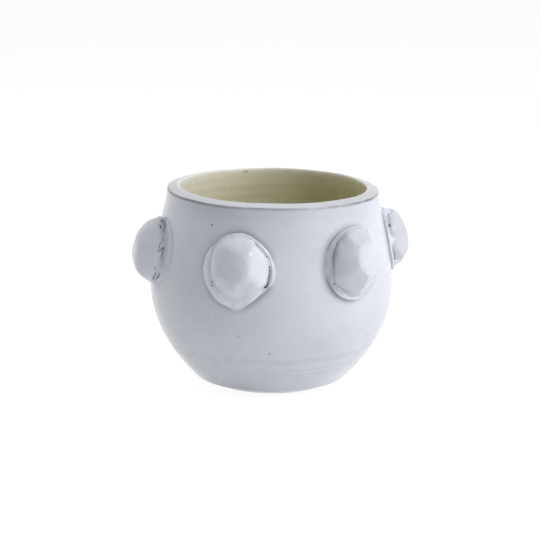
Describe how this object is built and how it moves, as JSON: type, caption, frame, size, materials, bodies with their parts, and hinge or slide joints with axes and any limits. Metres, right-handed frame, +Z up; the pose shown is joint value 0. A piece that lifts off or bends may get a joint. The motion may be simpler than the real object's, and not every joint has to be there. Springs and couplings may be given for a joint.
{
  "type": "round bossed planter pot",
  "caption": "Hand-thrown round-bellied glazed planter with a wide bevelled mouth, a drain hole and a ring of hand-pressed round bosses luted round its shoulder.",
  "frame": {"origin": "centre of the foot ring, on the ground", "axes": "+Z up through the mouth; -Y is the front, between the first and second boss; +X to the right seen from the front"},
  "size_m": [0.2724, 0.2704, 0.1955],
  "materials": {
    "vessel_glaze": "cool white glossy tin glaze outside, pale olive-cream glaze inside, bare clay foot",
    "boss_glaze": "cool white glossy tin glaze, pooled thick",
    "coil_glaze": "cool white glossy tin glaze, broken at cracks where the dark clay shows"
  },
  "bodies": {
    "root": {"thrown_vessel": "vessel_glaze", "boss_1": "boss_glaze", "boss_2": "boss_glaze", "boss_3": "boss_glaze", "boss_4": "boss_glaze", "boss_5": "boss_glaze", "boss_6": "boss_glaze", "luting_coil_1": "coil_glaze", "luting_coil_2": "coil_glaze", "luting_coil_3": "coil_glaze", "luting_coil_4": "coil_glaze", "luting_coil_5": "coil_glaze", "luting_coil_6": "coil_glaze"}
  },
  "joints": []
}
